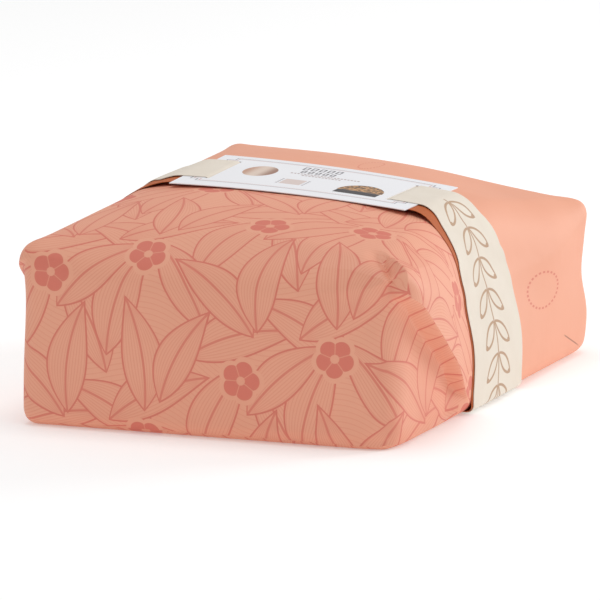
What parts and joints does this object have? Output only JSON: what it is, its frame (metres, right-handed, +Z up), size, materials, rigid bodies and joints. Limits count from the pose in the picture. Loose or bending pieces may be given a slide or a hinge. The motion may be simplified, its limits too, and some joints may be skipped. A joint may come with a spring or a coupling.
{
  "type": "paper-wrapped colomba cake pack",
  "caption": "Closed crowned cake box in printed wrapping paper, with a dark paper band round its middle and a wide ribbon threaded through a flat label card on top.",
  "frame": {"origin": "middle of the base, on the surface that the pack stands on", "axes": "+Z up, +Y along the pack's length from the printed short end to the plain one, +X across it along the ribbon"},
  "size_m": [0.2592, 0.3538, 0.1388],
  "materials": {
    "wrap_paper": null,
    "band_paper": "matt russet paper",
    "ribbon_cloth": "cream woven ribbon with a tan ornament",
    "label_board": "white coated board with a bronze foil print"
  },
  "bodies": {
    "root": {"wrapped_pack": "wrap_paper", "paper_band": "band_paper", "ribbon": "ribbon_cloth", "label_card": "label_board"}
  },
  "joints": []
}
